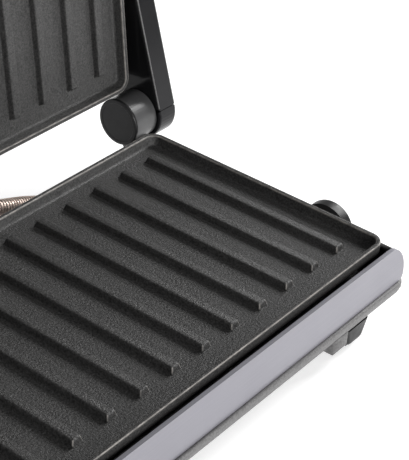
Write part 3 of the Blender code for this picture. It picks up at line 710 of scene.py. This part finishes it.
def ring_bead(name, low, high, z, corner, radius, finish, body, place=None):
    """A fine round bead that follows a rounded rectangle."""
    ring = rounded_ring(low.x, high.x, low.y, high.y, corner, 10)
    points = [Vector((x, y, z)) for x, y in ring]
    points += [points[0]]
    path = evenly(points, 0.0025)
    shape = bmesh.new()
    sweep(shape, path, lambda i: radius, segments=8)
    piece(name, shape, finish, body, place=place)


LIP_INSET = Vector((0.0012, 0.0012, 0))
TRIM_INSET = Vector((0.0040, 0.0040, 0))
low, high = closed_box("lid_frame")
ring_bead(
    "frame_lip", low + LIP_INSET, high - LIP_INSET, low.z + 0.0003, 0.0088, 0.0005,
    "grey_plastic", "lid", OPENED,
)
low, high = closed_box("lid_panel")
ring_bead(
    "panel_trim", low + TRIM_INSET, high - TRIM_INSET, high.z + 0.00005, 0.0080, 0.00045,
    "satin_silver", "lid", OPENED,
)


def make_lens(node, name, finish):
    """A domed lens in a raised bezel."""
    low, high = closed_box(node)
    centre = ((low.x + high.x) / 2, (low.y + high.y) / 2, low.z)
    radius, height = (high.x - low.x) / 2, high.z - low.z
    shape = bmesh.new()
    profile = [(0.0, radius - 0.0006)]
    for step in range(9):
        angle = math.radians(10 * step)
        along = 0.0003 + (height - 0.0003) * math.sin(angle)
        profile.append((along, (radius - 0.0006) * math.cos(angle) + 0.00002))
    turned(shape, profile, centre, (0, 0, 1))
    piece(name, shape, finish, "lid", place=OPENED, replaces=[node])
    shape = bmesh.new()
    section = ((-0.0001, 0.00060), (0.0005, 0.00055), (0.0007, 0.00030), (0.0006, 0.00005), (-0.0001, 0.0))
    rings = []
    for along, inward in section:
        size = radius - 0.0005 + inward
        rings.append(
            [
                (centre[0] + size * math.cos(a), centre[1] + size * math.sin(a), centre[2] + along)
                for a in (2 * math.pi * i / 48 for i in range(48))
            ]
        )
    loft(shape, rings, closed=True)
    piece(name + "_bezel", shape, "steel", "lid", place=OPENED)


make_lens("power_lens", "power_lamp", "red_lens")
make_lens("ready_lens", "ready_lamp", "green_lens")

# ---------------------------------------------------------------- feet, screws, gland and caps

LEG_LOW_WIDTH = 0.0112
TOE_SHARE = 0.28  # of the leg's height, that is rounded
PAD_GROOVES = 5


def make_foot(tag):
    """A leg with a rounded toe and, under it, a pad with grooves."""
    low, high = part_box("foot_" + tag)
    middle = (low.x + high.x) / 2
    width_top = high.x - low.x
    rings = []
    for step in range(15):
        share = step / 14
        toe = max(0.0, 1 - share / TOE_SHARE)
        rounding = 1 - math.sqrt(1 - toe**2)
        width = LEG_LOW_WIDTH + (width_top - LEG_LOW_WIDTH) * share - 0.0030 * rounding
        ring = rounded_ring(
            middle - width / 2, middle + width / 2, low.y + 0.0020 * rounding + 0.0006 * (1 - share),
            high.y - 0.0020 * rounding - 0.0006 * (1 - share), 0.0024, 6,
        )
        rings.append([(x, y, low.z + (high.z - low.z) * share) for x, y in ring])
    shape = bmesh.new()
    loft(shape, rings)
    piece("leg_" + tag, shape, "black_plastic", "base", replaces=["foot_" + tag])
    low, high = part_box("foot_pad_" + tag)
    shape = bmesh.new()
    box_into(shape, (low.x, low.y, low.z + 0.0005), high, 0.0003)
    pitch = (high.y - low.y - 0.0010) / PAD_GROOVES
    for i in range(PAD_GROOVES):
        y = low.y + 0.0005 + pitch * i
        box_into(
            shape,
            (low.x + 0.0003, y + 0.0003, low.z),
            (high.x - 0.0003, y + pitch - 0.0003, low.z + 0.0008),
            0.0002,
        )
    piece("pad_" + tag, shape, "rubber", "base", replaces=["foot_pad_" + tag])


for row in ("front", "rear"):
    for side_name in ("left", "right"):
        make_foot(f"{row}_{side_name}")


def make_screw(number):
    """A pan head with a cross recess."""
    node = f"tray_screw_{number}"
    low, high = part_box(node)
    centre = Vector(((low.x + high.x) / 2, (low.y + high.y) / 2, high.z))
    radius, height = (high.x - low.x) / 2, high.z - low.z
    shape = bmesh.new()
    profile = [(0.0, radius)]
    for step in range(7):
        angle = math.radians(12 * step)
        profile.append((height * (0.25 + 0.75 * math.sin(angle)), radius * math.cos(angle) ** 0.6))
    profile[-1] = (height, profile[-1][1])
    turned(shape, profile, centre, (0, 0, -1), 40)
    cutter = bmesh.new()
    long, thin = 0.0016, 0.00035
    cross = (
        (-thin, -long), (thin, -long), (thin, -thin), (long, -thin), (long, thin), (thin, thin),
        (thin, long), (-thin, long), (-thin, thin), (-long, thin), (-long, -thin), (-thin, -thin),
    )
    levels = (low.z - 0.001, low.z + 0.0007)
    loft(cutter, [[(centre.x + x, centre.y + y, z) for x, y in cross] for z in levels])
    carved(f"cross_screw_{number}", shape, cutter, "steel", "base", [node])


for number in range(1, 5):
    make_screw(number)


def make_gland():
    """The cord's way in: a flanged sleeve with grip rings and an open bore."""
    low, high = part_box("cord_gland")
    radius, length = (high.x - low.x) / 2, high.y - low.y
    centre = ((low.x + high.x) / 2, low.y, (low.z + high.z) / 2)
    section = [(0.0, radius - 0.0002), (0.0002, radius), (0.0014, radius), (0.0016, radius - 0.0006)]
    for ring in range(3):
        start = 0.0020 + 0.0016 * ring
        size = radius - 0.0006 - 0.0002 * ring
        section += [(start, size - 0.0003), (start + 0.0004, size)]
        section += [(start + 0.0010, size), (start + 0.0013, size - 0.0003)]
    section += [(length, radius - 0.0022), (length - 0.0003, 0.0040), (0.0020, 0.0038), (0.0020, 0.0004)]
    shape = bmesh.new()
    turned(shape, section, centre, (0, 1, 0))
    piece("cord_sleeve", shape, "black_plastic", "base", replaces=["cord_gland"], sharp=40)


make_gland()


def make_cap(side, side_name):
    """The barrel's end cap, with a fine step round its face."""
    low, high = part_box(f"barrel_cap_{side_name}")
    radius, length = (high.z - low.z) / 2, high.x - low.x
    profile = [
        (0.0, radius), (length - 0.0005, radius), (length - 0.00015, radius - 0.0002),
        (length, radius - 0.0006), (length, radius - 0.0020), (length - 0.00015, radius - 0.0022),
        (length - 0.00015, 0.0010),
    ]
    shape = bmesh.new()
    base_x = high.x if side > 0 else low.x
    turned(shape, profile, (base_x, HINGE.y, HINGE.z), (-side, 0, 0), 72)
    piece(f"end_cap_{side_name}", shape, "black_plastic", "base", replaces=[f"barrel_cap_{side_name}"])


for side, side_name in ((-1, "left"), (1, "right")):
    make_cap(side, side_name)

# ---------------------------------------------------------------- stage, lights, camera

CAMERA_PLACE = Vector((-0.40096, HINGE.y - 0.43503, 0.43076))
CAMERA_YAW = math.radians(53.638)
CAMERA_PITCH = math.radians(33.787)
CAMERA_ROLL = math.radians(4.059)
CAMERA_LENS = 116.65
FLOOR_HALF = 6.0
FLOOR_DROP = 0.0002  # below the pads, so that the two don't lie in one plane
FLOOR_GLOW = 0.38
WORLD_STRENGTH = 0.20


def add_camera():
    data = bpy.data.cameras.new("camera")
    data.sensor_width = 36
    data.lens = CAMERA_LENS
    data.clip_start = 0.01
    camera = bpy.data.objects.new("camera", data)
    scene.collection.objects.link(camera)
    ahead = Vector(
        (
            math.sin(CAMERA_YAW) * math.cos(CAMERA_PITCH),
            math.cos(CAMERA_YAW) * math.cos(CAMERA_PITCH),
            -math.sin(CAMERA_PITCH),
        )
    )
    level = Vector((math.cos(CAMERA_YAW), -math.sin(CAMERA_YAW), 0))
    lift = level.cross(ahead)
    right = math.cos(CAMERA_ROLL) * level + math.sin(CAMERA_ROLL) * lift
    upward = -math.sin(CAMERA_ROLL) * level + math.cos(CAMERA_ROLL) * lift
    rotation = Matrix((right, upward, -ahead)).transposed().to_4x4()
    camera.matrix_world = Matrix.Translation(CAMERA_PLACE) @ rotation
    scene.camera = camera


def add_floor():
    """A white sheet of paper under the press."""
    shape = bmesh.new()
    bmesh.ops.create_grid(shape, x_segments=8, y_segments=8, size=FLOOR_HALF)
    mesh = bpy.data.meshes.new("floor")
    shape.to_mesh(mesh)
    shape.free()
    floor = bpy.data.objects.new("floor", mesh)
    floor.location.z = -FLOOR_DROP
    scene.collection.objects.link(floor)
    paper = Finish("floor_paper", (0.93, 0.93, 0.93), 0.9)
    paper.shader.inputs["Emission Color"].default_value = (1, 1, 1, 1)
    paper.shader.inputs["Emission Strength"].default_value = FLOOR_GLOW
    mesh.materials.append(paper.material)


def add_light(name, place, target, size, energy):
    """A rectangular area light of size metres that points at target."""
    data = bpy.data.lights.new(name, "AREA")
    data.shape = "RECTANGLE"
    data.size, data.size_y = size
    data.energy = energy
    light = bpy.data.objects.new(name, data)
    scene.collection.objects.link(light)
    light.location = place
    light.rotation_euler = (Vector(target) - Vector(place)).to_track_quat("-Z", "Y").to_euler()


add_camera()
add_floor()
add_light("key", (1.30, -0.15, 0.80), (0.08, -0.05, 0.05), (0.8, 0.6), 22)
add_light("front", (-0.1, -1.5, 0.55), (-0.05, 0.06, 0.15), (1.0, 0.6), 24)
add_light("back", (1.0, 1.5, 1.1), (0, 0, 0.1), (1.4, 0.8), 3)

world = bpy.data.worlds.new("studio")
world.use_nodes = True
world.node_tree.nodes["Background"].inputs["Color"].default_value = (1, 1, 1, 1)
world.node_tree.nodes["Background"].inputs["Strength"].default_value = WORLD_STRENGTH
scene.world = world
scene.view_settings.view_transform = "Standard"
